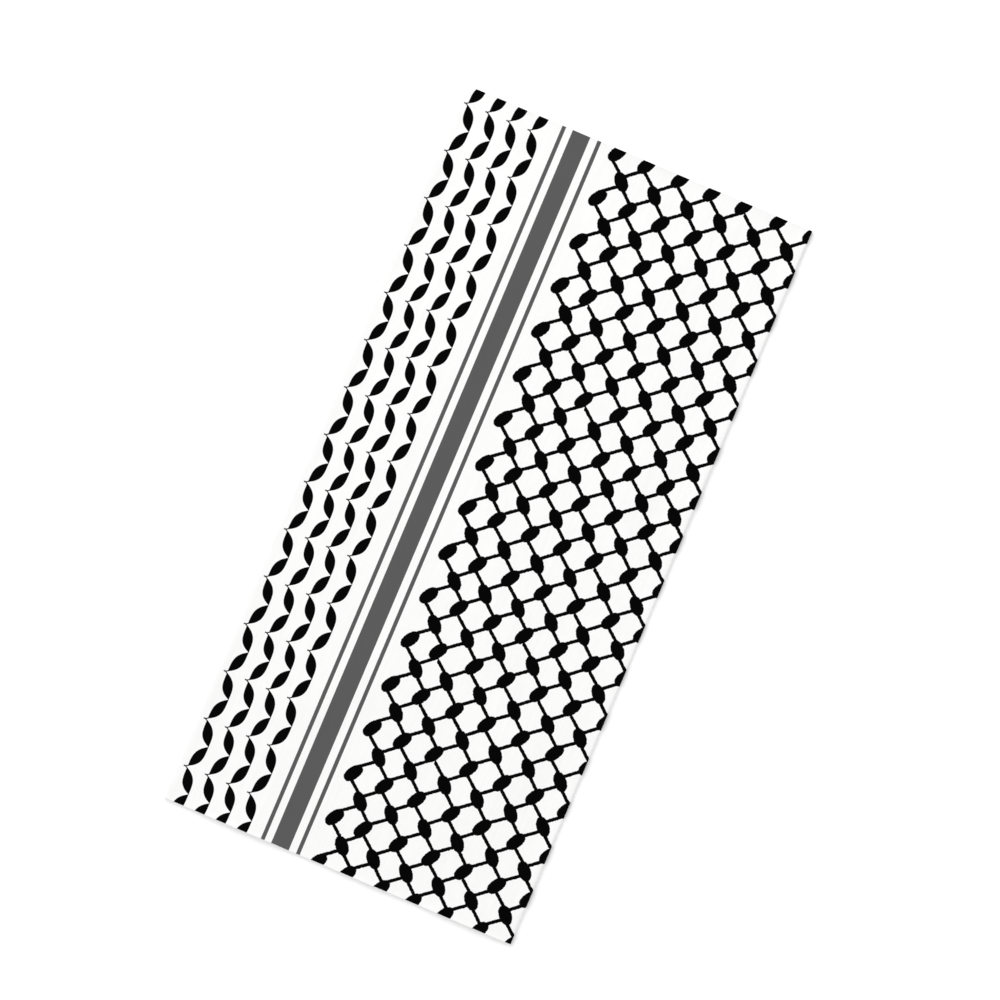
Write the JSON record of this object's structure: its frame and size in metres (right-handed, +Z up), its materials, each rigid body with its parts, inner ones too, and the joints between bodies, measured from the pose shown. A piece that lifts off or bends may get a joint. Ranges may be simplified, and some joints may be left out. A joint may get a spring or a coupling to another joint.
{
  "type": "keffiyeh tube scarf",
  "caption": "Seamless stretch-knit tube scarf laid flat, open at both cut ends, printed in black and grey on white with keffiyeh leaf chains, stripes and fishnet.",
  "frame": {"origin": "on the surface the scarf lies on, under the middle of its laid-flat rectangle", "axes": "+X across the laid width, +Y along the sleeve towards the end that is uppermost in the picture, +Z up out of the front face"},
  "size_m": [0.2414, 0.4952, 0.0044],
  "materials": {
    "printed_knit": "matte smooth microfibre knit, white ground with black and mid grey keffiyeh print"
  },
  "bodies": {
    "root": {"scarf_tube": "printed_knit"}
  },
  "joints": []
}
